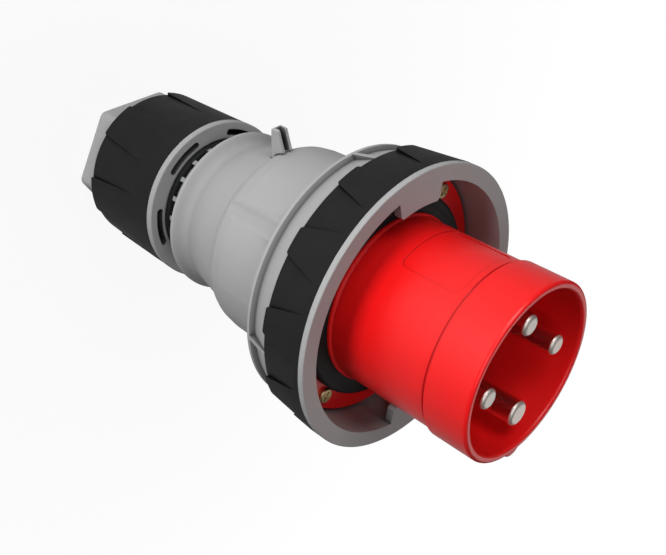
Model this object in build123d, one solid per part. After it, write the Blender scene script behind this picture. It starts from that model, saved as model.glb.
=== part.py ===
# Industrial pin and sleeve plug, 63 A, three phases and earth, with a bayonet coupling ring.
# Millimetres. The plug's axis is Z and its pins point to +Z. It stands on the flat end of its gland
# nut, and the origin is the centre of that end face. The housing latch and the label place are on
# the -Y side, and the polarising key and the earth pin on the +Y side.
from build123d import *
from math import atan, cos, degrees, radians, sin, sqrt
import os

# Driving dimensions, all in millimetres and degrees

# Sleeve and contacts
sleeve_r = 34.2
sleeve_wall = 2.5
sleeve_length = 50.9        # from the flange's front face to the front band
band_length = 18.2
band_step = 1.1             # the front band stands out by this much
band_groove = 1.25          # shadow groove behind the band
band_groove_depth = 0.35
rim_wall = 3.0
rim_round = 1.2
sleeve_flange_thick = 4.0
bead_height = 0.9           # moulded bead in front of the gasket
bead_length = 1.9
bead_slope = 0.6
key_width = 10.0
key_height = 5.8
key_set_back = 2.2
key_round = 1.2
key_gap = 0.4               # in front of the gasket bead
label_half_angle = 26.5
label_length = 26.0
label_gap = 4.1             # between the coupling ring and the label place
label_corner = 3.0
label_depth = 0.3
pin_circle_r = 20.0
phase_pin_r = 4.0
earth_pin_r = 5.0
pin_set_back = 1.9          # pin tips behind the rim
pin_end_round = 1.5
pin_collar = 0.4            # the shank in the carrier is this much thicker
pin_collar_height = 0.5     # and shows in front of the carrier's boss
barrel_wall = 2.6
barrel_chamfer = 0.6
barrel_length = 22.0        # terminal barrel behind the carrier
barrel_root = 8.0           # its length inside the carrier
wire_hole_r = 4.2
wire_hole_depth = 18.0
terminal_screw_r = 2.5
terminal_screw_bite = 2.5   # past the barrel's wall
terminal_screw_proud = 1.2
terminal_slot_depth = 1.0
terminal_screw_gap = 8.0
screw_slot = 0.9            # width of the slots in all screw heads
screw_slot_share = 1.35     # length of a cross slot, by its head's radius

# Contact carrier and its fixing
cavity_depth = 50.1         # from the rim to the carrier's face
carrier_gap = 0.3
carrier_flange_thick = 3.4
carrier_flange_edge = 3.0   # outside the carrier's screws
carrier_tail = 7.5          # behind the sleeve's flange
carrier_recess = 3.0        # depth of the hollow in its rear
carrier_recess_rim = 4.0
carrier_boss_wall = 2.0
carrier_boss_height = 3.0
carrier_screw_r = 1.45
carrier_screw_inset = 3.6   # screws' circle outside the carrier's disc
carrier_screw_head_r = 2.6
carrier_screw_head = 1.7
carrier_screw_bite = 3.0
carrier_screw_room = 0.5    # behind the carrier screws' heads

# Gasket and flange screws
gasket_width = 8.0
gasket_thick = 4.7
gasket_recess = 1.2         # depth of its inner bevel, which the sleeve's bead presses on
gasket_round = 0.8
flange_screw_gap = 0.35     # between the gasket and the screws' heads
flange_screw_r = 1.95
flange_screw_head_r = 3.2
flange_screw_head = 1.7
flange_screw_bite = 4.2
flange_edge = 2.05          # outside the screws' heads
flange_seal_gap = 3.2       # seal's middle outside the carrier's flange
flange_seal_wire = 1.3

# Coupling ring, from its bore outwards
ring_length = 33.6
ring_gap = 1.2              # round the sleeve's flange
ring_wall_thick = 3.8       # hard ring under the soft grip
ring_grip_thick = 2.8
ring_grip_taper = 0.6       # less at the rear
ring_grip_land = 6.0        # untapered front of the grip
ring_band = 2.2             # bare band in front of the grip
ring_grip_length = 19.3
ring_edge_round = 0.5
ring_tail = 7.3             # behind the housing's flange
ring_wall = 4.0             # rear wall that runs behind the housing's flange
ring_channel_step = 0.7     # channel's floor outside the bore
ring_skirt_wall = 3.3
ring_lip_height = 1.7
ring_lip_thick = 1.3
ring_lip_flank = 1.1
ring_scoops = 12
ring_scoop_rear_angle = 10.2
ring_scoop_front_angle = 5.4
ring_scoop_skin = 1.0
ring_scoop_land = 2.4       # between the scoops and the bare band
pad_round = 1.1             # rear corners of the grips' pads
ring_ribs = 4
ring_rib_width = 2.0
lug_half_angle = 12.5
lug_gap = 2.8               # outside the gasket
lug_thick = 3.3
lug_round = 1.4
lug_relief = 0.8            # recess in the ring's bore behind each lug

# Front housing
dome_length = 47.5          # from its rear edge to its flange
front_flange_thick = 5.3
front_flange_inset = 0.1
dome_gap = 0.6              # round the carrier's flange
dome_wall = 3.4
dome_flare = 1.0
dome_collar = 6.0           # plain length behind the flange
dome_edge_drop = 3.1        # radius lost in the rounded rear shoulder
dome_shoulder = 8.5         # its length
dome_edge = 1.3             # radius and length of its first bevel
dome_edge_length = 1.0
dome_bulge = 0.7            # place of its last bevel, below the dome and in front of the dome's edge
dome_bulge_length = 3.6
dome_blend = 2.5            # rounding between the bevels
dome_throat = 12.0          # narrower bore round the neck's tongue
dome_throat_step = 2.0
dome_pocket = 8.0           # plain bore's end, behind the flange
dome_pocket_step = 1.0
flute_depth = 1.0
flute_r = 5.9               # hollow middle of the flute
flute_blend_r = 7.7         # rounding of its sides
flute_lift = 0.03           # lets its sides cross the dome instead of running out on it
carrier_screw_pocket = 3.0  # depth behind the flange's rear face
flange_screw_end = 0.4      # room at the end of each flange screw

# Rear housing
neck_length = 30.4          # from the lip's rear face to the dome
neck_step = 0.9             # below the dome's rear edge
neck_taper = 5.34           # radius lost towards the lip
neck_wall = 3.6
neck_edge_round = 1.0
neck_land = 1.5             # unsloped front of the neck
lip_height = 3.84
lip_edge = 1.7
lip_round = 0.5
lip_flare = 4.3             # length of its sloped front face
lip_fillet = 6.5
tongue_length = 12.0        # neck's front tongue inside the dome
tongue_wall = 4.0
tongue_root = 4.0           # the chamber is widest this far behind the dome
housing_seal_wire = 1.0
housing_seal_gap = 6.0      # seal's middle in front of the dome's rear edge

# Threaded spigot and its ratchet teeth
spigot_r = 28.0             # thread crest
spigot_length = 40.3
spigot_wall = 2.8
spigot_chamfer = 1.0
seal_socket = 12.0          # depth of the bore for the cable seal
seal_shoulder = 3.7
throat_end = 6.3            # behind the lip's rear face
teeth = 20
tooth_height = 0.7          # above the thread
tooth_depth = 2.3
tooth_share = 0.22
tooth_length = 10.4
gland_seal_wire = 1.4
gland_seal_play = 0.2

# Gland nut, from its mouth outwards
hexagon_length = 15.2
nut_af = 58.0               # across the hexagon's flats
nut_corner_round = 3.5
nut_edge = 0.8
nut_grip_length = 43.2
collar_thick = 3.3
collar_gap = 12.6           # between the nut's collar and the lip
collar_edge = 0.5
mouth_gap = 0.9
mouth_depth = 11.2
mouth_slope = 1.5
thread_length = 24.0
thread_relief = 2.0
wall_play = 0.3             # between the nut's bore and the rings in it
nut_inner_gap = 1.0         # nut's bore behind its thread, inside the thread's crest
nut_floor = 14.0
slots = 6
slot_half_angle = 13.5
slot_inner_wall = 1.2
slot_width = 2.9
slot_outer_wall = 3.3
slot_depth = 9.0
nut_grip_seat = 2.0         # depth of the grip's seat below the collar
nut_grip_rear = 1.4         # thickness of the grip
nut_grip_front = 1.9
nut_scoop_rear_angle = 17.0
nut_scoop_front_angle = 10.6
nut_scoop_skin = 0.3
nut_scoop_land = 8.9
flat_angle = 30.0           # middle of the hexagon's first flat, which a scoop lies over

# Cable seal and strain relief
cage_gap = 0.4
cage_wall = 2.2
cage_base = 3.0
cage_fingers = 10
cage_finger_length = 10.5
cage_finger_gap = 3.2
cage_tip = 1.5
cage_tip_drop = 0.8
cable_seal_thick = 5.7
cable_seal_taper = 4.0
cable_seal_shoulder = 1.7
thrust_ring_thick = 3.0
thrust_ring_gap = 0.9       # round the seal's bore
cable_entry_gap = 2.4

# Housing latch, a lever that stands on the neck and leans over the dome's edge
latch_width = 5.0
latch_height = 13.0         # above the neck
latch_rear = 2.1            # back of the lever where it leaves the neck, behind the dome's edge
latch_top_rear = 1.4
latch_top_depth = 3.7       # along the plug's axis
latch_nose = 4.9            # cheeks' lowest front point, in front of the dome's edge
latch_over_dome = 0.45      # gap between the cheeks and the dome's shoulder
latch_nose_lift = 0.9       # the nose is this far outside the shoulder
latch_floor = 1.2           # bottom between the cheeks, outside the dome's edge
latch_stem = 1.9            # thickness of the stem below the cheeks
latch_cheek = 1.2
latch_back = 1.1
latch_top_edge = 0.45
latch_pivot_depth = 3.1     # below the neck's surface
latch_barrel_r = 2.0
latch_pin_r = 1.0
latch_pin_length = 12.0
latch_boss_wall = 2.2       # housing around the latch's pocket
latch_boss_round = 1.5
latch_room = 0.3
latch_swing = 0.9           # room behind the stem
latch_stem_root = 0.4       # below the neck's surface

# Clearances
fit = 0.05                  # running fit, radial
seat = 0.1                  # between pieces that are fixed together
slack = 0.3                 # between turning pieces that don't guide each other
thread_play = 0.06
past = 1.0                  # how far a cut runs past a face

# Worked-out levels along the axis, from the end of the gland nut
grip_rear_z = hexagon_length
grip_front_z = grip_rear_z + nut_grip_length
collar_front_z = grip_front_z + collar_thick
lip_z = collar_front_z + collar_gap
step_z = lip_z + neck_length
front_flange_rear_z = step_z + dome_length
flange_back_z = front_flange_rear_z + front_flange_thick
flange_front_z = flange_back_z + sleeve_flange_thick
gasket_front_z = flange_front_z + gasket_thick
bead_front_z = gasket_front_z + bead_length
band_z = flange_front_z + sleeve_length
rim_z = band_z + band_length
cavity_floor_z = rim_z - cavity_depth
carrier_boss_z = cavity_floor_z + carrier_boss_height
carrier_rear_z = flange_back_z - carrier_tail
carrier_flange_rear_z = flange_back_z - carrier_flange_thick
barrel_z = carrier_rear_z - barrel_length
pin_tip_z = rim_z - pin_set_back
ring_rear_z = front_flange_rear_z - ring_tail
ring_front_z = ring_rear_z + ring_length
ring_wall_front_z = front_flange_rear_z - slack
grip_z = ring_front_z - ring_band
ring_grip_rear_z = grip_z - ring_grip_length
tongue_front_z = step_z + tongue_length
neck_front_z = step_z - slack / 3
neck_rear_z = lip_z + lip_edge + lip_flare
dome_edge_z = step_z + dome_edge_length
dome_bulge_z = step_z + dome_bulge_length
dome_shoulder_z = step_z + dome_shoulder
dome_collar_z = front_flange_rear_z - dome_collar
housing_seal_z = step_z + housing_seal_gap
spigot_rear_z = lip_z - spigot_length
seal_seat_z = spigot_rear_z + seal_socket
tooth_rear_z = lip_z - tooth_length
gland_seal_z = tooth_rear_z - gland_seal_play - gland_seal_wire
gland_groove_z = gland_seal_z - gland_seal_wire - gland_seal_play
thread_front_z = collar_front_z - mouth_depth
thread_rear_z = thread_front_z - thread_length
cage_z = nut_floor + thrust_ring_thick
finger_z = cage_z + cage_base
cage_front_z = finger_z + cage_finger_length
latch_front_z = step_z - slack
latch_rear_z = step_z - latch_rear
latch_top_rear_z = step_z - latch_top_rear
latch_nose_z = step_z + latch_nose
latch_pivot_z = latch_front_z - latch_barrel_r

# Worked-out radii
band_r = sleeve_r + band_step
sleeve_bore_r = sleeve_r - sleeve_wall
band_groove_r = sleeve_r - band_groove_depth
rim_bore_r = band_r - rim_wall
bead_r = sleeve_r + bead_height
carrier_r = sleeve_bore_r - carrier_gap
carrier_screw_circle_r = carrier_r + carrier_screw_inset
carrier_flange_r = carrier_screw_circle_r + carrier_flange_edge
gasket_r = sleeve_r + gasket_width
flange_screw_circle_r = gasket_r + flange_screw_gap + flange_screw_head_r
flange_r = flange_screw_circle_r + flange_screw_head_r + flange_edge
flange_seal_r = carrier_flange_r + flange_seal_gap
lug_bore_r = gasket_r + lug_gap
ring_bore_r = flange_r + ring_gap
ring_core_r = ring_bore_r + ring_wall_thick
ring_r = ring_core_r + ring_grip_thick
ring_channel_r = ring_bore_r + ring_channel_step
ring_lip_r = ring_channel_r + ring_lip_height
ring_skirt_r = ring_channel_r - ring_skirt_wall
dome_bore_r = carrier_flange_r + dome_gap
dome_r = dome_bore_r + dome_wall
dome_front_r = dome_r + dome_flare
dome_edge_r = dome_r - dome_edge_drop
dome_throat_r = dome_bore_r - dome_throat_step
tongue_r = dome_throat_r - seat
neck_front_r = dome_edge_r - neck_step
neck_rear_r = neck_front_r - neck_taper
chamber_r = neck_front_r - neck_wall
lip_r = neck_rear_r + lip_height
spigot_bore_r = spigot_r - spigot_wall
throat_r = spigot_bore_r - seal_shoulder
tooth_r = spigot_r + tooth_height
tooth_root_r = tooth_r - tooth_depth
mouth_r = tooth_r + mouth_gap
slot_inner_r = mouth_r + slot_inner_wall
slot_outer_r = slot_inner_r + slot_width
collar_r = slot_outer_r + slot_outer_wall
nut_core_r = collar_r - nut_grip_seat
nut_inner_r = spigot_r - nut_inner_gap
cage_r = spigot_bore_r - cage_gap
cage_bore_r = cage_r - cage_wall
cable_seal_r = cage_bore_r - slack
cable_seal_bore_r = cable_seal_r - cable_seal_thick
thrust_ring_bore_r = cable_seal_bore_r + thrust_ring_gap
cable_entry_r = cable_seal_bore_r + cable_entry_gap
latch_top_r = neck_front_r + latch_height
latch_pivot_r = neck_front_r - latch_pivot_depth
barrel_r = wire_hole_r + barrel_wall
diagonals = (45, 135, 225, 315)
pin_angles = {"pin_l1": 180, "pin_l2": -90, "pin_l3": 0, "pin_earth": 90}


def turned(*profile):
    """A solid of revolution about the plug's axis from (radius, z) points."""
    return revolve(make_face(Plane.XZ * Polyline(*profile, close=True)), Axis.Z)


def tube(outer, inner, low, high):
    return turned((inner, low), (outer, low), (outer, high), (inner, high))


def rod(r, low, high, x=0, y=0):
    return Pos(x, y, low) * Cylinder(r, high - low, align=(Align.CENTER, Align.CENTER, Align.MIN))


def at(angle, radius, z=0):
    """A place beside the axis, at an angle from +X, facing outwards along its own X."""
    return Rot(0, 0, angle) * Pos(radius, 0, z)


def around(shape, count, start=0):
    return [Rot(0, 0, start + i * 360 / count) * shape for i in range(count)]


def box_between(low, high):
    size = [b - a for a, b in zip(low, high)]
    return Pos(*low) * Box(*size, align=(Align.MIN, Align.MIN, Align.MIN))


def sector(outer, inner, half_angle, low, high):
    """A block of a tube that spans half_angle on each side of +X."""
    reach = outer * 1.5
    edge = radians(half_angle)
    wedge = Polyline((0, 0), (reach * cos(edge), -reach * sin(edge)), (reach * cos(edge), reach * sin(edge)),
                     close=True)
    return tube(outer, inner, low, high) & (Pos(0, 0, low) * extrude(make_face(wedge), high - low))


def edges_at(shape, r, z, spread=0.2):
    """The round edges of a turned piece that lie at radius r and height z."""
    found = shape.edges().filter_by(GeomType.CIRCLE)
    return [e for e in found
            if abs(e.radius - r) < spread and abs(e.center(CenterOf.BOUNDING_BOX).Z - z) < spread]


def scoop_cutter(rear_z, front_z, rear_angle, front_angle, floor_rear_r, floor_front_r):
    """A finger scoop along +X, wide at the rear and narrower and shallower towards the front.

    It flares out behind the grip, which rounds the rear corners of the pads beside it."""
    half_rear = floor_rear_r * sin(radians(rear_angle))
    half_front = floor_front_r * sin(radians(front_angle))
    flare = half_rear + 2 * pad_round
    side = [(half_front, front_z), (half_rear, rear_z), (flare, rear_z), (flare, rear_z - past)]
    outline = make_face(Polyline(*side, *[(-x, z) for x, z in reversed(side)], close=True))
    corners = [v for v in outline.vertices() if abs(v.Y - rear_z) < 0.01 and abs(v.X) < half_rear + 0.01]
    outline = fillet(corners, pad_round)
    prism = extrude(Plane.YZ.offset(floor_rear_r * 0.7) * outline, floor_front_r)
    run = (floor_front_r - floor_rear_r) / (front_z - rear_z)
    far = floor_front_r * 1.5
    above = turned((floor_rear_r - run * past, rear_z - past), (far, rear_z - past),
                   (far, front_z + past), (floor_front_r + run * past, front_z + past))
    return prism & above


def sleeve():
    """Red sleeve and its flange, one moulding, with key, label place and gasket bead."""
    body = turned((sleeve_bore_r, flange_back_z), (flange_r, flange_back_z), (flange_r, flange_front_z),
                  (sleeve_r, flange_front_z), (sleeve_r, gasket_front_z),
                  (bead_r, gasket_front_z + bead_slope / 2), (bead_r, bead_front_z - bead_slope),
                  (sleeve_r, bead_front_z),
                  (sleeve_r, band_z - band_groove - band_groove_depth), (band_groove_r, band_z - band_groove),
                  (band_groove_r, band_z), (band_r, band_z), (band_r, rim_z), (rim_bore_r, rim_z),
                  (sleeve_bore_r, cavity_floor_z))
    body = fillet(edges_at(body, band_r, rim_z) + edges_at(body, rim_bore_r, rim_z), rim_round)
    key_top = band_r + key_height - key_width / 2
    key_rear = bead_front_z + key_gap
    key_front = rim_z - key_set_back
    web = box_between((-key_width / 2, sleeve_bore_r + past, key_rear), (key_width / 2, key_top, key_front))
    crown = rod(key_width / 2, key_rear, key_front, y=key_top)
    key = web + crown - rod(sleeve_r - sleeve_wall / 4, flange_back_z, rim_z)
    body += fillet(key.edges().filter_by_position(Axis.Z, key_front - 0.01, key_front + 0.01), key_round)
    width = 2 * sleeve_r * sin(radians(label_half_angle))
    label_z = ring_front_z + label_gap
    outline = Plane.XZ.offset(sleeve_r / 2) * RectangleRounded(width, label_length, label_corner)
    panel = Pos(0, 0, label_z + label_length / 2) * extrude(outline, sleeve_r)
    body -= panel & tube(sleeve_r + past, sleeve_r - label_depth, label_z - past, band_z)
    for angle in diagonals:
        body -= at(angle, flange_screw_circle_r) * rod(flange_screw_r + seat, flange_back_z - past,
                                                       flange_front_z + past)
        body -= at(angle, carrier_screw_circle_r) * rod(carrier_screw_r + fit, flange_back_z - past,
                                                        flange_back_z + carrier_screw_bite + seat)
    return body


def pin(r):
    """A contact pin along the axis: round front end, collared shank and a terminal barrel behind."""
    tip = rod(r, carrier_rear_z, pin_tip_z)
    tip = fillet(edges_at(tip, r, pin_tip_z), pin_end_round)
    tip += rod(r + pin_collar, carrier_rear_z, carrier_boss_z + pin_collar_height)
    barrel = rod(barrel_r, barrel_z, carrier_rear_z + barrel_root)
    barrel = chamfer(edges_at(barrel, barrel_r, barrel_z), barrel_chamfer)
    body = tip + barrel - rod(wire_hole_r, barrel_z - past, barrel_z + wire_hole_depth)
    for z in terminal_levels():
        body -= Pos(barrel_r, 0, z) * Rot(0, 90, 0) * Cylinder(terminal_screw_r + fit, 2 * barrel_r)
    return body


def terminal_levels():
    middle = barrel_z + wire_hole_depth / 2
    return (middle - terminal_screw_gap / 2, middle + terminal_screw_gap / 2)


def terminal_screws():
    """Two slotted clamp screws in each terminal barrel, their heads facing outwards."""
    length = barrel_wall + terminal_screw_bite
    screw = Rot(0, 90, 0) * Cylinder(terminal_screw_r, length, align=(Align.CENTER, Align.CENTER, Align.MIN))
    screw -= Pos(length, 0, 0) * Box(2 * terminal_slot_depth, 2 * terminal_screw_r + past, screw_slot)
    start = pin_circle_r + barrel_r - length + terminal_screw_proud
    return Compound([at(angle, start, z) * screw for angle in pin_angles.values() for z in terminal_levels()])


def pin_radius(name):
    return earth_pin_r if name == "pin_earth" else phase_pin_r


def contact_carrier():
    """Moulded carrier that holds the pins: a disc in the sleeve, a flange and a boss for each pin."""
    recess_z = carrier_rear_z + carrier_recess
    recess_r = carrier_r - carrier_recess_rim
    body = turned((0, recess_z), (recess_r, recess_z), (recess_r, carrier_flange_rear_z),
                  (carrier_flange_r, carrier_flange_rear_z), (carrier_flange_r, flange_back_z),
                  (carrier_r, flange_back_z), (carrier_r, cavity_floor_z), (0, cavity_floor_z))
    for name, angle in pin_angles.items():
        place = at(angle, pin_circle_r)
        body += place * rod(pin_radius(name) + carrier_boss_wall, cavity_floor_z - past, carrier_boss_z)
        body += place * rod(barrel_r + carrier_boss_wall, carrier_rear_z - barrel_wall,
                            carrier_rear_z + 2 * carrier_recess)
    for name, angle in pin_angles.items():
        place = at(angle, pin_circle_r)
        body -= place * rod(pin_radius(name) + pin_collar + fit, barrel_z, rim_z)
        body -= place * rod(barrel_r + fit, barrel_z, carrier_rear_z + barrel_root)
    for angle in diagonals:
        body -= at(angle, carrier_screw_circle_r) * rod(carrier_screw_r + seat, carrier_flange_rear_z - past,
                                                        flange_back_z + past)
    return body


def pan_screw(shank_r, head_r, head, length):
    """A cross-slotted screw along Z, its head's underside at Z 0 and its shank below."""
    body = rod(shank_r, -length, 0) + rod(head_r, 0, head)
    body = fillet(edges_at(body, head_r, head), head / 3)
    slot = Box(head_r * screw_slot_share, screw_slot, head)
    return body - Pos(0, 0, head) * slot - Pos(0, 0, head) * Rot(0, 0, 90) * slot


def flange_screws():
    length = sleeve_flange_thick + flange_screw_bite
    screw = pan_screw(flange_screw_r, flange_screw_head_r, flange_screw_head, length)
    return Compound([at(a, flange_screw_circle_r, flange_front_z) * screw for a in diagonals])


def carrier_screws():
    length = carrier_flange_thick + carrier_screw_bite
    screw = Rot(180, 0, 0) * pan_screw(carrier_screw_r, carrier_screw_head_r, carrier_screw_head, length)
    return Compound([at(a, carrier_screw_circle_r, carrier_flange_rear_z) * screw for a in diagonals])


def mating_gasket():
    """Ring gasket, bevelled inside where the sleeve's bead holds it."""
    body = turned((sleeve_r + seat, flange_front_z), (gasket_r, flange_front_z), (gasket_r, gasket_front_z),
                  (bead_r + seat, gasket_front_z), (sleeve_r + seat, gasket_front_z - gasket_recess))
    return fillet(edges_at(body, gasket_r, gasket_front_z), gasket_round)


def o_ring(major, wire, z):
    return Pos(0, 0, z) * Torus(major, wire)


def coupling_ring():
    """Bayonet ring: two inward lugs, a rear wall behind the housing's flange, lipped channel and ribs."""
    wall_rear = ring_wall_front_z - ring_wall
    guide_r = dome_front_r + slack
    lip_front = ring_rear_z + ring_lip_thick
    flank_r = ring_core_r + ring_edge_round
    body = turned((guide_r, wall_rear), (ring_skirt_r, wall_rear), (ring_skirt_r, ring_rear_z),
                  (ring_lip_r, ring_rear_z), (ring_lip_r, lip_front),
                  (ring_channel_r, lip_front + ring_lip_flank), (flank_r, ring_grip_rear_z),
                  (ring_core_r, ring_grip_rear_z), (ring_core_r, grip_z), (ring_r, grip_z),
                  (ring_r, ring_front_z), (ring_bore_r, ring_front_z),
                  (ring_bore_r, ring_wall_front_z), (guide_r, ring_wall_front_z))
    body = fillet(edges_at(body, ring_r, ring_front_z), ring_edge_round)
    rib_foot_r = (ring_bore_r + ring_channel_r) / 2
    rib = box_between((rib_foot_r, -ring_rib_width / 2, lip_front - fit),
                      (ring_r, ring_rib_width / 2, ring_grip_rear_z))
    rib &= turned((rib_foot_r, lip_front - fit), (ring_lip_r, lip_front - fit),
                  (flank_r + ring_edge_round, ring_grip_rear_z), (rib_foot_r, ring_grip_rear_z))
    for piece in around(rib, ring_ribs, start=90):
        body += piece
    lug_rear_z = ring_front_z - lug_thick
    relief = sector(ring_bore_r + lug_relief, ring_bore_r - past, lug_half_angle + lug_relief,
                    ring_wall_front_z, lug_rear_z)
    lug = sector(ring_bore_r + lug_relief, lug_bore_r, lug_half_angle, lug_rear_z, ring_front_z)
    root_x = ring_bore_r * cos(radians(lug_half_angle))
    lug = fillet([e for e in lug.edges().filter_by(Axis.Z) if e.center().X < root_x], lug_round)
    for angle in (-90, 90):
        body = body - Rot(0, 0, angle) * relief + Rot(0, 0, angle) * lug
    return body


def ring_grip():
    """Soft grip moulded on the coupling ring, with finger scoops between twelve pads."""
    body = turned((ring_core_r, ring_grip_rear_z), (ring_r - ring_grip_taper, ring_grip_rear_z),
                  (ring_r, grip_z - ring_grip_land), (ring_r, grip_z), (ring_core_r, grip_z))
    cutter = scoop_cutter(ring_grip_rear_z, grip_z - ring_scoop_land, ring_scoop_rear_angle,
                          ring_scoop_front_angle, ring_core_r + ring_scoop_skin, ring_r)
    for piece in around(cutter, ring_scoops):
        body -= piece
    return body


def flute():
    """A soft hollow along the dome, on +X: a hollow middle between two rounded sides.

    The roundings meet the dome and the hollow without a corner."""
    middle = dome_r - flute_depth + flute_r
    blend = dome_r - flute_blend_r
    reach = flute_r + flute_blend_r
    along = (blend ** 2 - reach ** 2 + middle ** 2) / (2 * middle)
    aside = sqrt(blend ** 2 - along ** 2)
    centre = Vector(along, aside)
    start = centre * (dome_r / blend)
    foot = Vector(middle, 0) + (centre - Vector(middle, 0)) * (flute_r / reach)
    crest = centre + ((start + foot) * 0.5 - centre).normalized() * flute_blend_r
    left, right = [[Vector(p.X, side * p.Y) for p in (start, crest, foot)] for side in (1, -1)]
    outline = Curve() + [ThreePointArc(*left), ThreePointArc(left[2], (middle - flute_r, 0), right[2]),
                         ThreePointArc(*right), Polyline(right[0], (dome_r ** 2 / start.X, 0), left[0])]
    length = dome_collar_z - step_z + past
    lean = degrees(atan((dome_front_r - dome_r) / (dome_collar_z - dome_shoulder_z)))
    trough = Pos(-dome_r, 0, step_z - past - dome_shoulder_z) * extrude(make_face(outline), length)
    return Pos(dome_r + flute_lift, 0, dome_shoulder_z) * Rot(0, lean, 0) * trough


def front_housing():
    """Dome and flange in front, open at both ends, with a soft flute on each diagonal."""
    edge_r = flange_r - front_flange_inset
    seat_r = carrier_flange_r + seat
    seat_z = carrier_flange_rear_z - carrier_screw_head - carrier_screw_room
    body = turned((dome_throat_r, step_z), (dome_edge_r, step_z), (dome_edge_r + dome_edge, dome_edge_z),
                  (dome_r - dome_bulge, dome_bulge_z), (dome_r, dome_shoulder_z),
                  (dome_front_r, dome_collar_z), (dome_front_r, front_flange_rear_z),
                  (edge_r, front_flange_rear_z), (edge_r, flange_back_z), (seat_r, flange_back_z),
                  (seat_r, seat_z), (dome_bore_r - dome_pocket_step, front_flange_rear_z - dome_pocket),
                  (dome_bore_r, step_z + dome_throat + dome_throat_step),
                  (dome_throat_r, step_z + dome_throat))
    body = fillet(edges_at(body, dome_edge_r + dome_edge, dome_edge_z)
                  + edges_at(body, dome_r - dome_bulge, dome_bulge_z), dome_blend)
    for angle in diagonals:
        body -= Rot(0, 0, angle) * flute()
        body -= at(angle, flange_screw_circle_r) * rod(flange_screw_r + fit,
                                                       flange_back_z - flange_screw_bite - flange_screw_end,
                                                       flange_back_z + past)
        body -= at(angle, carrier_screw_circle_r) * rod(carrier_screw_head_r + seat,
                                                        front_flange_rear_z - carrier_screw_pocket,
                                                        flange_back_z)
    groove_z = flange_back_z - 2 * flange_seal_wire
    return body - tube(flange_seal_r + flange_seal_wire, flange_seal_r - flange_seal_wire, groove_z,
                       flange_back_z + past)


def rear_housing():
    """Neck with its flared lip, the tongue inside the dome and the threaded spigot with ratchet teeth."""
    body = turned((throat_r, seal_seat_z), (spigot_bore_r, seal_seat_z), (spigot_bore_r, spigot_rear_z),
                  (spigot_r - spigot_chamfer, spigot_rear_z), (spigot_r, spigot_rear_z + spigot_chamfer),
                  (spigot_r, gland_groove_z), (tooth_root_r, gland_groove_z), (tooth_root_r, lip_z),
                  (lip_r, lip_z), (lip_r, lip_z + lip_edge), (neck_rear_r, neck_rear_z),
                  (neck_front_r, step_z - neck_land), (neck_front_r, neck_front_z), (tongue_r, neck_front_z),
                  (tongue_r, tongue_front_z), (tongue_r - tongue_wall, tongue_front_z),
                  (chamber_r, step_z - tongue_root), (neck_rear_r - neck_wall, neck_rear_z),
                  (throat_r, lip_z - throat_end))
    body = fillet(edges_at(body, neck_rear_r, neck_rear_z), lip_fillet)
    body = fillet(edges_at(body, lip_r, lip_z) + edges_at(body, lip_r, lip_z + lip_edge), lip_round)
    body = fillet(edges_at(body, neck_front_r, neck_front_z), neck_edge_round)
    tooth = sector(tooth_r, tooth_root_r - past / 2, 180 * tooth_share / teeth, tooth_rear_z, lip_z + fit)
    for piece in around(tooth, teeth, start=180 / teeth - 90):
        body += piece
    body -= Pos(0, 0, housing_seal_z) * Torus(tongue_r - housing_seal_wire, housing_seal_wire + fit / 2)
    body += latch_boss()
    pin_hole = latch_pivot() * Cylinder(latch_pin_r + fit / 2, latch_pin_length + 4 * seat)
    return body - latch_pocket() - pin_hole


def latch_pivot():
    """Middle of the latch's pivot pin, which lies along X."""
    return Pos(0, -latch_pivot_r, latch_pivot_z) * Rot(0, 90, 0)


def latch_boss():
    """Thicker wall inside the neck that holds the latch's pocket and pin."""
    side = latch_width / 2 + latch_room + latch_boss_wall
    depth = latch_pivot_r - latch_barrel_r - latch_room - latch_boss_wall
    low_z = latch_pivot_z - latch_barrel_r - latch_room - latch_boss_wall
    block = box_between((-side, -chamber_r - past, low_z), (side, -depth, neck_front_z))
    return fillet(block.edges().filter_by(Axis.Z).filter_by_position(Axis.Y, -depth - 0.1, -depth + 0.1),
                  latch_boss_round)


def latch_pocket():
    """Round room in the neck for the latch's barrel, and a slot for its stem and its swing."""
    side = latch_width / 2 + latch_room
    slot = box_between((-side, -latch_top_r, latch_rear_z - latch_swing), (side, -latch_pivot_r, step_z))
    return latch_pivot() * Cylinder(latch_barrel_r + latch_room, 2 * side) + slot


def latch_pin():
    return latch_pivot() * Cylinder(latch_pin_r, latch_pin_length)


def housing_latch():
    """U-shaped lever: a thin back with two cheeks that widen downwards, on a stem with a round barrel."""
    side = Polyline((-latch_pivot_r, latch_front_z - latch_stem),
                    (-neck_front_r + latch_stem_root, latch_rear_z),
                    (-latch_top_r, latch_top_rear_z), (-latch_top_r, latch_top_rear_z + latch_top_depth),
                    (-dome_r + dome_bulge - latch_nose_lift, latch_nose_z),
                    (-dome_r + dome_bulge - latch_over_dome, dome_bulge_z),
                    (-dome_edge_r - dome_edge - latch_over_dome, dome_edge_z),
                    (-dome_edge_r - latch_over_dome, latch_front_z),
                    (-latch_pivot_r, latch_front_z), close=True)
    body = extrude(make_face(Plane.YZ * side), latch_width / 2, both=True)
    top = body.edges().filter_by_position(Axis.Y, -latch_top_r - 0.01, -latch_top_r + 0.01)
    body = chamfer(top, latch_top_edge)
    inside = latch_width / 2 - latch_cheek
    body -= box_between((-inside, -latch_top_r - past, latch_top_rear_z + latch_back),
                        (inside, -dome_edge_r - latch_floor, latch_nose_z + past))
    body += latch_pivot() * Cylinder(latch_barrel_r, latch_width)
    return body - latch_pivot() * Cylinder(latch_pin_r + fit, latch_width + past)


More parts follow.
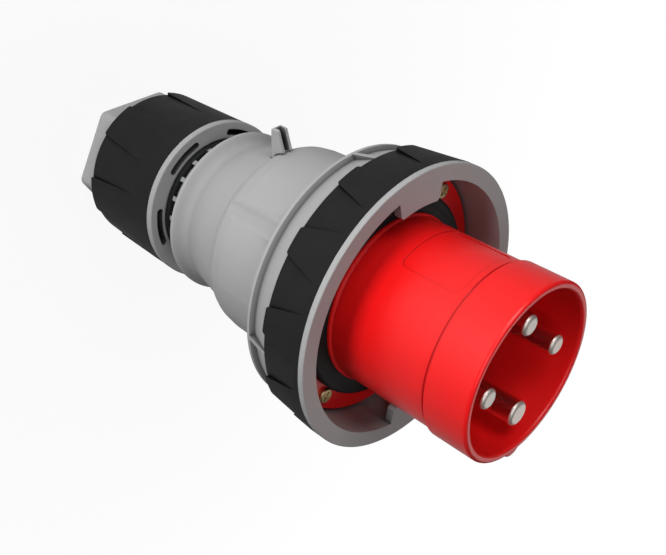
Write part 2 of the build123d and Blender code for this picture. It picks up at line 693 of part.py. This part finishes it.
def gland_nut():
    """Hexagonal end, a plain core under the grip, and a collar with kidney slots."""
    hexagon = extrude(RegularPolygon(nut_af / 2, 6, major_radius=False), hexagon_length)
    hexagon = fillet(hexagon.edges().filter_by(Axis.Z), nut_corner_round)
    hexagon = chamfer(hexagon.faces().sort_by(Axis.Z)[0].edges(), nut_edge)
    core = turned((0, grip_rear_z), (nut_core_r, grip_rear_z), (nut_core_r, grip_front_z),
                  (collar_r, grip_front_z), (collar_r, collar_front_z), (0, collar_front_z))
    core = fillet(edges_at(core, collar_r, grip_front_z) + edges_at(core, collar_r, collar_front_z),
                  collar_edge)
    body = hexagon + core
    body -= turned((0, -past), (cable_entry_r, -past), (cable_entry_r, nut_floor), (nut_inner_r, nut_floor),
                   (nut_inner_r, thread_rear_z - thread_relief), (spigot_r + thread_play, thread_rear_z),
                   (spigot_r + thread_play, thread_front_z), (mouth_r, thread_front_z + mouth_slope),
                   (mouth_r, collar_front_z + past), (0, collar_front_z + past))
    slot_rear_z = collar_front_z - slot_depth
    slot = sector(slot_outer_r, slot_inner_r, slot_half_angle, slot_rear_z, collar_front_z + past)
    slot_end = rod(slot_width / 2, slot_rear_z, collar_front_z + past)
    for side in (-slot_half_angle, slot_half_angle):
        slot += at(side, (slot_inner_r + slot_outer_r) / 2) * slot_end
    for piece in around(slot, slots):
        body -= piece
    return body


def nut_grip():
    """Soft grip moulded on the gland nut, with a scoop over each of the hexagon's flats."""
    rear_r = nut_core_r + nut_grip_rear
    front_r = nut_core_r + nut_grip_front
    body = turned((nut_core_r, grip_rear_z), (rear_r, grip_rear_z), (front_r, grip_front_z),
                  (nut_core_r, grip_front_z))
    cutter = scoop_cutter(grip_rear_z, grip_front_z - nut_scoop_land, nut_scoop_rear_angle,
                          nut_scoop_front_angle, nut_core_r + nut_scoop_skin, front_r - fit)
    for piece in around(cutter, 6, start=flat_angle):
        body -= piece
    return body


def thrust_ring():
    return tube(nut_inner_r - wall_play, thrust_ring_bore_r, nut_floor, cage_z)


def clamp_cage():
    """Strain relief cage: a base ring and a crown of fingers round the cable seal."""
    base_r = nut_inner_r - wall_play
    body = turned((cage_bore_r, cage_z), (base_r, cage_z), (base_r, finger_z), (cage_r, finger_z),
                  (cage_r, cage_front_z - cage_tip), (cage_r - cage_tip_drop, cage_front_z),
                  (cage_bore_r, cage_front_z))
    gap = box_between((cage_bore_r - past, -cage_finger_gap / 2, finger_z),
                      (cage_r + past, cage_finger_gap / 2, cage_front_z + past))
    for piece in around(gap, cage_fingers):
        body -= piece
    return body


def cable_seal():
    """Rubber bush that grips the cable, from the thrust ring to the shoulder in the spigot."""
    return turned((cable_seal_bore_r, cage_z), (cable_seal_r, cage_z),
                  (cable_seal_r, seal_seat_z - cable_seal_taper),
                  (cable_seal_r - cable_seal_shoulder, seal_seat_z), (cable_seal_bore_r, seal_seat_z))


os.makedirs("parts", exist_ok=True)
nodes = {
    "sleeve": sleeve(),
    "contact_carrier": contact_carrier(),
    "terminal_screws": terminal_screws(),
    "carrier_screws": carrier_screws(),
    "mating_gasket": mating_gasket(),
    "flange_screws": flange_screws(),
    "flange_seal": o_ring(flange_seal_r, flange_seal_wire - fit / 2, flange_back_z - flange_seal_wire),
    "coupling_ring": coupling_ring(),
    "ring_grip": ring_grip(),
    "front_housing": front_housing(),
    "housing_seal": o_ring(tongue_r - housing_seal_wire, housing_seal_wire, housing_seal_z),
    "rear_housing": rear_housing(),
    "housing_latch": housing_latch(),
    "latch_pin": latch_pin(),
    "gland_seal": o_ring(tooth_root_r + gland_seal_wire + fit / 2, gland_seal_wire, gland_seal_z),
    "gland_nut": gland_nut(),
    "nut_grip": nut_grip(),
    "thrust_ring": thrust_ring(),
    "clamp_cage": clamp_cage(),
    "cable_seal": cable_seal(),
}
for name, angle in pin_angles.items():
    nodes[name] = at(angle, pin_circle_r) * pin(pin_radius(name))
for name, shape in nodes.items():
    export_step(shape, f"parts/{name}.step")
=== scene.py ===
"""Finishes, soft parts and studio of an industrial pin and sleeve plug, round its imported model."""
import math

import bpy
from bpy.props import FloatProperty, FloatVectorProperty, PointerProperty
from mathutils import Matrix, Vector


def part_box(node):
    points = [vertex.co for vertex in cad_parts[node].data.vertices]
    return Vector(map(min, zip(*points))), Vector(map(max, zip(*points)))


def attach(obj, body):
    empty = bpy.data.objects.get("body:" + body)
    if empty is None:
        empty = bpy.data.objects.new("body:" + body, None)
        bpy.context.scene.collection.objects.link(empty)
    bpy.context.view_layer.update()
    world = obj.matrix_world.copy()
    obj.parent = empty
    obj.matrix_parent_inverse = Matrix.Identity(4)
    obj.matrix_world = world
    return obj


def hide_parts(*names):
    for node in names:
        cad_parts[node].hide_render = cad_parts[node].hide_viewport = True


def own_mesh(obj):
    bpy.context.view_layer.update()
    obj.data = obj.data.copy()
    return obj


bl_info = {
    "name": "Pin and Sleeve Plug",
    "version": (1, 0, 0),
    "blender": (4, 5, 0),
    "location": "View3D > Sidebar > Plug",
    "description": "Dresses a pin and sleeve plug with its finishes, soft parts and studio",
    "category": "Object",
}

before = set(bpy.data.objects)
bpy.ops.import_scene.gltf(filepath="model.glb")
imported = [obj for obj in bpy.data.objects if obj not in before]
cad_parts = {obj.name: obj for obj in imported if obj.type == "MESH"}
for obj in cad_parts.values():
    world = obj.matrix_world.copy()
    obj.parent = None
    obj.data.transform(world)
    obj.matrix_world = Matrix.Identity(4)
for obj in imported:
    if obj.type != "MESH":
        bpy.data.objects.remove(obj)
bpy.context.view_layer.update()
MM = 0.001

# Camera that the plug was measured with, in the plug's frame
CAMERA_PLACE = Vector((0.21736, -0.21039, 0.35335))
CAMERA_FORWARD = Vector((-0.57664, 0.57494, -0.58046))
CAMERA_UP = Vector((-0.40972, -0.81818, -0.40337))
CAMERA_CLIP = 0.01
IMAGE_WIDTH = 666
FOCAL_PIXELS = 920.9
SENSOR_MM = 36.0

# Studio, in metres
PLUG_MIDDLE = Vector((0, 0, 0.12))
LAMP_DISTANCE = 0.8
FLOOR_SIZE = 12.0
SHADOW_REACH = 0.4
FLOOR_PAINT = (0.7, 0.7, 0.7, 1)
WHITE = (1, 1, 1, 1)

# Numbers of the finishes
EDGE_SAMPLES = 6
# Samples and seam reach of the occlusion that sets the painted shade
HOLLOW_SAMPLES = 8
SEAM_REACH = 1.5 * MM
PIN_ROUNDING = 1.5 * MM
PIN_FADE = 0.6 * MM

# Pieces modelled here
SMOOTH_ANGLE = math.radians(40)
SAME_POINT = 1e-6
GASKET_STEPS = 128
SEAL_STEPS = 96


# Values and nodes

class Value:
    """A number or colour that varies over a surface; arithmetic on it adds Math nodes."""

    def __init__(self, nodes, socket):
        self.nodes = nodes
        self.socket = socket

    def maths(self, operation, *terms):
        return self.nodes.value("ShaderNodeMath", {"operation": operation}, dict(enumerate(terms)))

    def __add__(self, other):
        return self.maths("ADD", self, other)

    def __radd__(self, other):
        return self.maths("ADD", other, self)

    def __sub__(self, other):
        return self.maths("SUBTRACT", self, other)

    def __rsub__(self, other):
        return self.maths("SUBTRACT", other, self)

    def __mul__(self, other):
        return self.maths("MULTIPLY", self, other)

    def clamped(self):
        """The same value, held between 0 and 1."""
        return self.nodes.value("ShaderNodeClamp", {}, {"Value": self, "Min": 0.0, "Max": 1.0})


class Nodes:
    """The node tree of a material or a world, built node by node."""

    def __init__(self, owner, output):
        self.owner = owner
        owner.use_nodes = True
        self.tree = owner.node_tree
        self.tree.nodes.clear()
        self.output = self.node(output, {}, {})

    def node(self, kind, settings, inputs):
        made = self.tree.nodes.new(kind)
        for key, setting in settings.items():
            setattr(made, key, setting)
        for key, entry in inputs.items():
            if isinstance(entry, Value):
                self.tree.links.new(entry.socket, made.inputs[key])
            else:
                made.inputs[key].default_value = entry
        return made

    def value(self, kind, settings, inputs, output=0):
        return Value(self, self.node(kind, settings, inputs).outputs[output])

    def ray(self, kind):
        """1 for light rays of that kind and 0 for others."""
        return self.value("ShaderNodeLightPath", {}, {}, kind)

    def close(self, shader):
        """Ends the tree in its shader."""
        self.tree.links.new(shader.socket, self.output.inputs["Surface"])
        return self.owner


class Finish(Nodes):
    """One material."""

    def __init__(self, name):
        super().__init__(bpy.data.materials.new(name), "ShaderNodeOutputMaterial")

    def place(self):
        """Position in metres, in the frame that all pieces share."""
        return self.value("ShaderNodeTexCoord", {}, {}, "Object")

    def height(self):
        """Height above the floor in metres."""
        return self.value("ShaderNodeSeparateXYZ", {}, {0: self.place()}, "Z")

    def noise(self, size, detail=2.0, rough=0.5):
        """Even noise whose features are about size metres across."""
        inputs = {"Vector": self.place(), "Scale": 1 / size, "Detail": detail, "Roughness": rough}
        return self.value("ShaderNodeTexNoise", {}, inputs)

    def rings(self, size):
        """Noise that varies with height only."""
        inputs = {"W": self.height(), "Scale": 1 / size, "Detail": 2.0}
        return self.value("ShaderNodeTexNoise", {"noise_dimensions": "1D"}, inputs)

    def blend(self, mask, first, second):
        """The first colour where the mask is 0, and the second where it is 1."""
        return self.value("ShaderNodeMix", {"data_type": "RGBA"}, {0: mask, 6: first, 7: second}, 2)

    def bump(self, height, depth, edge, strength=1.0):
        """Normals of a relief depth metres deep, over sharp edges rounded by edge metres."""
        rounded = self.value("ShaderNodeBevel", {"samples": EDGE_SAMPLES}, {"Radius": edge})
        inputs = {"Height": height, "Distance": depth, "Strength": strength, "Normal": rounded}
        return self.value("ShaderNodeBump", {}, inputs)

    def openness(self, reach):
        """1 on an open face, down to 0 in the piece's own hollows and in seams with any piece; the
        mask of the painted shade.
        """
        hollow = self.occlusion(reach, only_local=True)
        return hollow * hollow * self.occlusion(SEAM_REACH, only_local=False)

    def occlusion(self, reach, only_local):
        settings = {"samples": HOLLOW_SAMPLES, "only_local": only_local}
        return self.value("ShaderNodeAmbientOcclusion", settings, {"Distance": reach}, "AO")

    def surface(self, **sockets):
        """Closes the material with one shader; sockets are named with underscores for spaces."""
        named = {key.replace("_", " "): entry for key, entry in sockets.items()}
        return self.close(self.value("ShaderNodeBsdfPrincipled", {}, named))


def shade(colour, factor):
    """The colour made lighter or darker, as a socket takes it."""
    return (*[min(1.0, part * factor) for part in colour], 1.0)


# Finishes of the materials

def moulded_plastic(name, colour, roughness, depth=0.012 * MM, cloud=0.03, shine=0.15, corner=0.1,
                    reach=14 * MM):
    """Satin moulding: eroded grain, faint flow clouds, softly rounded edges, painted shade in
    corners and seams.
    """
    finish = Finish(name)
    flow = finish.noise(18 * MM, detail=3, rough=0.55)
    speck = finish.noise(0.25 * MM, detail=3, rough=0.6)
    tone = finish.blend(flow, shade(colour, 1 - cloud), shade(colour, 1 + cloud))
    # Painted shade: corners, hollows and seams, as occlusion within reach finds them, darkened to
    # corner times the colour
    tone = finish.blend(finish.openness(reach), shade(colour, corner), tone)
    normal = finish.bump(speck, depth, edge=0.15 * MM)
    gloss = roughness - 0.04 + speck * 0.05 + flow * 0.03
    return finish.surface(Base_Color=tone, Roughness=gloss, Normal=normal,
                          Specular_IOR_Level=shine)


def soft_grip(name, colour, roughness):
    """Matt overmoulding: coarser leather-like grain, paler in the patches that hands polish, painted
    shade in hollows.
    """
    finish = Finish(name)
    grain = finish.noise(0.45 * MM, detail=4, rough=0.65)
    polish = finish.noise(9 * MM, detail=3, rough=0.6)
    tone = finish.blend(polish, shade(colour, 0.85), shade(colour, 1.2))
    # Painted shade: hollows and seams darkened to a tenth of the colour
    tone = finish.blend(finish.openness(5 * MM), shade(colour, 0.1), tone)
    normal = finish.bump(grain, depth=0.02 * MM, edge=0.15 * MM)
    gloss = roughness + grain * 0.1 - polish * 0.08
    return finish.surface(Base_Color=tone, Roughness=gloss, Normal=normal, IOR=1.2)


def moulded_rubber(name, colour):
    """Seal rubber: matt black with a faint bloom."""
    finish = Finish(name)
    bloom = finish.noise(6 * MM, detail=4, rough=0.6)
    skin = finish.noise(0.3 * MM, detail=3, rough=0.6)
    tone = finish.blend(bloom, shade(colour, 0.8), shade(colour, 1.3))
    normal = finish.bump(skin, depth=0.02 * MM, edge=0.3 * MM)
    return finish.surface(Base_Color=tone, Roughness=0.55 + bloom * 0.15, Normal=normal,
                          Specular_IOR_Level=0.25)


def plated_contact(name, colour, roughness, tip, matt):
    """Turned and plated contact: fine lathe rings, and an end as rough as matt above tip."""
    finish = Finish(name)
    rings = finish.rings(0.25 * MM)
    stain = finish.noise(3 * MM, detail=3, rough=0.6)
    tone = finish.blend(stain, shade(colour, 0.93), shade(colour, 1.04))
    normal = finish.bump(rings, depth=0.004 * MM, edge=0.25 * MM, strength=0.6)
    end = ((finish.height() - tip) * (1 / PIN_FADE)).clamped()
    gloss = roughness + rings * 0.06 + stain * 0.05 + end * (matt - roughness)
    return finish.surface(Base_Color=tone, Metallic=1.0, Roughness=gloss, Normal=normal)


def turned_metal(name, colour, roughness=0.3):
    """Small turned fasteners with a lightly tarnished face."""
    finish = Finish(name)
    tarnish = finish.noise(1.2 * MM, detail=4, rough=0.6)
    speck = finish.noise(0.15 * MM, detail=3)
    tone = finish.blend(tarnish, shade(colour, 0.8), shade(colour, 1.1))
    normal = finish.bump(speck, depth=0.004 * MM, edge=0.15 * MM, strength=0.7)
    gloss = roughness + tarnish * 0.15
    return finish.surface(Base_Color=tone, Metallic=1.0, Roughness=gloss, Normal=normal)


# Pieces

def cad(name):
    """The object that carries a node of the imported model."""
    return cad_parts[name]


def radii(node):
    """Distances of a node's points from the plug's axis."""
    return [math.hypot(vertex.co.x, vertex.co.y) for vertex in node.data.vertices]


def dress(names, material):
    """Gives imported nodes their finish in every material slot."""
    for name in names:
        for slot in cad(name).material_slots:
            slot.material = material


def clear_selection():
    """Empties the selection, so that operators act on the next object alone."""
    bpy.ops.object.select_all(action="DESELECT")


def turned_piece(name, profile, steps):
    """Spins a closed outline of (radius, height) points about the plug's axis."""
    clear_selection()
    bpy.ops.mesh.primitive_circle_add(vertices=len(profile), radius=1.0, fill_type="NOTHING",
                                      location=(0, 0, 0))
    piece = bpy.context.object
    piece.name = name
    for vertex, (radius, height) in zip(piece.data.vertices, profile):
        vertex.co = (radius, 0.0, height)
    bpy.ops.object.mode_set(mode="EDIT")
    bpy.ops.mesh.select_all(action="SELECT")
    bpy.ops.mesh.spin(steps=steps, angle=math.tau, center=(0, 0, 0), axis=(0, 0, 1))
    bpy.ops.mesh.select_all(action="SELECT")
    bpy.ops.mesh.remove_doubles(threshold=SAME_POINT)
    bpy.ops.mesh.normals_make_consistent(inside=False)
    bpy.ops.object.mode_set(mode="OBJECT")
    bpy.ops.object.shade_smooth_by_angle(angle=SMOOTH_ANGLE)
    return piece


def finish_piece(piece, material, body):
    """Gives a modelled piece its finish and says what it belongs to."""
    piece.data.materials.clear()
    piece.data.materials.append(material)
    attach(piece, body)


# Settings

def colour_setting(name, description, default):
    return FloatVectorProperty(name=name, description=description, subtype="COLOR", size=3,
                               min=0, max=1, default=default)


class PlugColours(bpy.types.PropertyGroup):
    """Colours of the plug's mouldings and metals."""

    housing: colour_setting("Housing", "Light grey of the housings, nut and coupling ring",
                            (0.385, 0.385, 0.385))
    sleeve: colour_setting("Sleeve", "Red of the sleeve", (0.92, 0.008, 0.009))
    grip: colour_setting("Grip", "Black of the soft grips", (0.016, 0.016, 0.0165))
    rubber: colour_setting("Rubber", "Black of the gasket and seals", (0.012, 0.013, 0.013))
    contact: colour_setting("Contacts", "Plating of the pins", (0.92, 0.86, 0.79))
    brass: colour_setting("Brass", "Brass of the flange screws", (0.62, 0.50, 0.26))
    inner: colour_setting("Inner mouldings", "Dark contact carrier and clamp cage",
                          (0.045, 0.045, 0.05))
    steel: colour_setting("Steel", "Plated steel of the hidden screws", (0.6, 0.6, 0.62))


class PlugSizes(bpy.types.PropertyGroup):
    """Sizes of the soft parts that are modelled here."""

    lip: FloatProperty(name="Gasket lip", description="Height of the gasket's sealing lips",
                       unit="LENGTH", default=0.12 * MM, min=0)
    rib: FloatProperty(name="Seal rib", description="Depth of the ribs in the cable seal's bore",
                       unit="LENGTH", default=0.9 * MM, min=0)
    rib_pitch: FloatProperty(name="Rib pitch", description="Distance between those ribs",
                             unit="LENGTH", default=3.2 * MM, min=1 * MM)


class PlugStudio(bpy.types.PropertyGroup):
    """Lamps, sky and shadow of the studio."""

    key: FloatProperty(name="Key lamp", default=4.0,
                       description="Power of the broad low lamp under the camera")
    side: FloatProperty(name="Side lamp", default=2.1,
                        description="Power of the lamp at the latch's side")
    high: FloatProperty(name="High lamp", default=1.2,
                        description="Power of the high lamp on the camera's side")
    rim: FloatProperty(name="Rim lamp", default=0.6,
                       description="Power of the lamp that the pins' ends mirror")
    back: FloatProperty(name="Back lamp", default=2.6,
                        description="Power of the low lamp behind the plug")
    sky: FloatProperty(name="Sky", default=0.05,
                       description="Strength of the even light from all round")
    mirrored: FloatProperty(name="Mirrored sky", default=0.08,
                            description="Strength of the sky as reflections show it")
    shadow: FloatProperty(name="Shadow", default=0.1, min=0, max=1,
                          description="How much of the plug's shadow the white floor shows")


# Operators

class PLUG_OT_housings(bpy.types.Operator):
    """Finish the light grey mouldings."""

    bl_idname = "plug.housings"
    bl_label = "Housings"

    def execute(self, context):
        colour = context.scene.plug_colours.housing
        # The housing finish paints shade into its corners, hollows and seams
        grey = moulded_plastic("housing plastic", colour, roughness=0.46)
        dress(("front_housing", "rear_housing", "housing_latch"), grey)
        dress(("gland_nut", "coupling_ring", "thrust_ring"), grey)
        return {"FINISHED"}


class PLUG_OT_sleeve(bpy.types.Operator):
    """Finish the red sleeve."""

    bl_idname = "plug.sleeve"
    bl_label = "Sleeve"

    def execute(self, context):
        colour = context.scene.plug_colours.sleeve
        # Painted shade on the sleeve, down to half its colour, in its grooves and in seams with
        # other pieces
        red = moulded_plastic("sleeve plastic", colour, roughness=0.34, depth=0.008 * MM,
                              cloud=0.015, shine=0.6, corner=0.5, reach=4 * MM)
        dress(("sleeve",), red)
        return {"FINISHED"}


class PLUG_OT_grips(bpy.types.Operator):
    """Finish the two soft grips."""

    bl_idname = "plug.grips"
    bl_label = "Soft grips"

    def execute(self, context):
        black = soft_grip("grip rubber", context.scene.plug_colours.grip, roughness=0.45)
        dress(("ring_grip", "nut_grip"), black)
        return {"FINISHED"}


class PLUG_OT_contacts(bpy.types.Operator):
    """Finish the pins and the moulding that carries them."""

    bl_idname = "plug.contacts"
    bl_label = "Contacts"

    def execute(self, context):
        colours = context.scene.plug_colours
        tip = max(corner[2] for corner in cad("pin_l1").bound_box) - PIN_ROUNDING
        plating = plated_contact("contact plating", colours.contact, roughness=0.12, tip=tip,
                                 matt=0.48)
        dress(("pin_l1", "pin_l2", "pin_l3", "pin_earth"), plating)
        # This finish also paints shade into corners, hollows and seams
        inner = moulded_plastic("inner plastic", colours.inner, roughness=0.5)
        dress(("contact_carrier", "clamp_cage"), inner)
        return {"FINISHED"}


class PLUG_OT_fasteners(bpy.types.Operator):
    """Finish the screws and the latch's pin."""

    bl_idname = "plug.fasteners"
    bl_label = "Fasteners"

    def execute(self, context):
        colours = context.scene.plug_colours
        dress(("flange_screws",), turned_metal("screw brass", colours.brass))
        steel = turned_metal("screw steel", colours.steel)
        dress(("terminal_screws", "carrier_screws", "latch_pin"), steel)
        return {"FINISHED"}


class PLUG_OT_gasket(bpy.types.Operator):
    """Model the gasket with its two sealing lips, and finish the rings and seals."""

    bl_idname = "plug.gasket"
    bl_label = "Gasket"

    def execute(self, context):
        rubber = moulded_rubber("seal rubber", context.scene.plug_colours.rubber)
        dress(("flange_seal", "housing_seal", "gland_seal"), rubber)
        low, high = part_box("mating_gasket")
        inner = min(radii(cad("mating_gasket")))
        lip = context.scene.plug_sizes.lip
        profile = self.outline(inner, high[0], low[2], high[2], lip)
        piece = turned_piece("mating_gasket_lips", profile, GASKET_STEPS)
        finish_piece(piece, rubber, "housing")
        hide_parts("mating_gasket")
        return {"FINISHED"}

    def outline(self, inner, outer, base, top, lip):
        """Section with a soft outer corner and two lips on the face that meets the socket."""
        corner, corner_steps = 1.2 * MM, 5
        lips, face_steps = 2, 28
        edge = outer - corner
        points = [(inner, base), (outer, base), (outer, top - corner)]
        for step in range(1, corner_steps):
            turn = math.radians(90 * step / corner_steps)
            points.append((edge + corner * math.cos(turn), top - corner + corner * math.sin(turn)))
        for step in range(face_steps + 1):
            share = step / face_steps
            wave = 0.5 - 0.5 * math.cos(share * lips * math.tau)
            points.append((edge - share * (edge - inner - lip), top - lip * wave))
        points.append((inner, top - lip))
        return points


class PLUG_OT_cable_seal(bpy.types.Operator):
    """Model the cable seal with the ribs in its bore that grip the cable."""

    bl_idname = "plug.cable_seal"
    bl_label = "Cable seal"

    def execute(self, context):
        rubber = moulded_rubber("bush rubber", context.scene.plug_colours.rubber)
        distances = radii(cad("cable_seal"))
        low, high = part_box("cable_seal")
        base, top = low[2], high[2]
        profile = self.outline(min(distances), max(distances), base, top,
                               context.scene.plug_sizes)
        piece = turned_piece("cable_seal_bush", profile, SEAL_STEPS)
        finish_piece(piece, rubber, "housing")
        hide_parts("cable_seal")
        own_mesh(piece)
        return {"FINISHED"}

    def outline(self, bore, outer, base, top, sizes):
        """Section with a tapered top, a chamfered foot and a wavy bore."""
        taper, taper_height, foot, rib_steps = 2 * MM, 4 * MM, 0.6 * MM, 8
        points = [(outer - foot, base), (outer, base + foot), (outer, top - taper_height),
                  (outer - taper, top)]
        ribs = max(1, round((top - base) / sizes.rib_pitch))
        count = ribs * rib_steps
        for step in range(count + 1):
            wave = 0.5 - 0.5 * math.cos(math.tau * step / rib_steps)
            points.append((bore + sizes.rib * wave, top - (top - base) * step / count))
        return points


class PLUG_OT_studio(bpy.types.Operator):
    """Set the floor, world, lamps and camera."""

    bl_idname = "plug.studio"
    bl_label = "Studio"

    def execute(self, context):
        studio = context.scene.plug_studio
        self.floor(studio.shadow)
        self.world(context.scene, studio)
        self.lamp("key lamp", -44, 3, (0.55, 0.22), studio.key, mirrored=False)
        self.lamp("side lamp", -84, 30, (0.36, 0.36), studio.side)
        self.lamp("high lamp", -30, 50, (0.4, 0.4), studio.high)
        self.lamp("rim lamp", 135, 35, (0.45, 0.45), studio.rim)
        self.lamp("back lamp", 135, 5, (0.5, 0.3), studio.back, mirrored=False)
        self.camera(context.scene)
        context.scene.view_settings.view_transform = "Standard"
        return {"FINISHED"}

    def floor(self, shadow):
        """White floor that shows some of the shadow near the plug and none further out."""
        clear_selection()
        bpy.ops.mesh.primitive_grid_add(x_subdivisions=8, y_subdivisions=8, size=FLOOR_SIZE,
                                        location=(0, 0, 0))
        floor = bpy.context.object
        floor.name = "studio_floor"
        finish = Finish("floor paint")
        painted = finish.value("ShaderNodeBsdfDiffuse", {}, {"Color": FLOOR_PAINT})
        white = finish.value("ShaderNodeEmission", {}, {"Color": WHITE, "Strength": 1.0})
        seen = finish.ray("Is Camera Ray") + finish.ray("Is Transmission Ray")
        away = finish.value("ShaderNodeVectorMath", {"operation": "LENGTH"},
                            {0: finish.place()}, "Value")
        near = (1 - away * (1 / SHADOW_REACH)).clamped()
        share = seen * (1 - near * shadow)
        mixed = finish.value("ShaderNodeMixShader", {}, {0: share, 1: painted, 2: white})
        floor.data.materials.append(finish.close(mixed))

    def world(self, scene, studio):
        """White for the camera, dim in reflections, and dimmer still as light from all round."""
        nodes = Nodes(bpy.data.worlds.new("studio sky"), "ShaderNodeOutputWorld")
        levels = {"Is Glossy Ray": studio.mirrored, "Is Transmission Ray": 1.0,
                  "Is Camera Ray": 1.0}
        strength = studio.sky
        for ray, level in levels.items():
            inputs = {0: nodes.ray(ray), 2: strength, 3: level}
            strength = nodes.value("ShaderNodeMix", {}, inputs)
        inputs = {"Color": WHITE, "Strength": strength}
        scene.world = nodes.close(nodes.value("ShaderNodeBackground", {}, inputs))

    def lamp(self, name, turn, rise, size, power, mirrored=True):
        """An area lamp turn degrees round from +X and rise degrees up, aimed at the plug."""
        turn, rise = math.radians(turn), math.radians(rise)
        level = math.cos(rise)
        towards = Vector((level * math.cos(turn), level * math.sin(turn), math.sin(rise)))
        clear_selection()
        bpy.ops.object.light_add(type="AREA", location=PLUG_MIDDLE + towards * LAMP_DISTANCE)
        lamp = bpy.context.object
        lamp.name = name
        lamp.data.shape = "RECTANGLE"
        lamp.data.size, lamp.data.size_y = size
        lamp.data.energy = power
        lamp.visible_camera = False
        lamp.visible_glossy = mirrored
        lamp.rotation_euler = (-towards).to_track_quat("-Z", "Y").to_euler()

    def camera(self, scene):
        """The camera as measured."""
        forward = CAMERA_FORWARD.normalized()
        right = forward.cross(CAMERA_UP).normalized()
        turned = Matrix((right, right.cross(forward), -forward)).transposed().to_4x4()
        clear_selection()
        bpy.ops.object.camera_add(location=CAMERA_PLACE)
        camera = bpy.context.object
        camera.matrix_world = Matrix.Translation(CAMERA_PLACE) @ turned
        camera.data.sensor_width = SENSOR_MM
        camera.data.lens = FOCAL_PIXELS / IMAGE_WIDTH * SENSOR_MM
        camera.data.clip_start = CAMERA_CLIP
        scene.camera = camera


class PLUG_PT_panel(bpy.types.Panel):
    """Buttons and settings of the plug in the sidebar."""

    bl_label = "Pin and Sleeve Plug"
    bl_idname = "PLUG_PT_panel"
    bl_space_type = "VIEW_3D"
    bl_region_type = "UI"
    bl_category = "Plug"

    def draw(self, context):
        for operator in OPERATORS:
            self.layout.operator(operator.bl_idname)
        for setting in GROUPS:
            group = getattr(context.scene, setting)
            for name in group.__annotations__:
                self.layout.prop(group, name)


GROUPS = {"plug_colours": PlugColours, "plug_sizes": PlugSizes, "plug_studio": PlugStudio}
OPERATORS = (PLUG_OT_housings, PLUG_OT_sleeve, PLUG_OT_grips, PLUG_OT_contacts,
             PLUG_OT_fasteners, PLUG_OT_gasket, PLUG_OT_cable_seal, PLUG_OT_studio)


def register():
    for group in GROUPS.values():
        bpy.utils.register_class(group)
    for name, group in GROUPS.items():
        setattr(bpy.types.Scene, name, PointerProperty(type=group))
    for operator in OPERATORS:
        bpy.utils.register_class(operator)
    bpy.utils.register_class(PLUG_PT_panel)


def unregister():
    bpy.utils.unregister_class(PLUG_PT_panel)
    for operator in reversed(OPERATORS):
        bpy.utils.unregister_class(operator)
    for name in GROUPS:
        delattr(bpy.types.Scene, name)
    for group in GROUPS.values():
        bpy.utils.unregister_class(group)


def main():
    register()
    for operator in OPERATORS:
        group, name = operator.bl_idname.split(".")
        getattr(getattr(bpy.ops, group), name)()


if __name__ == "__main__":
    main()
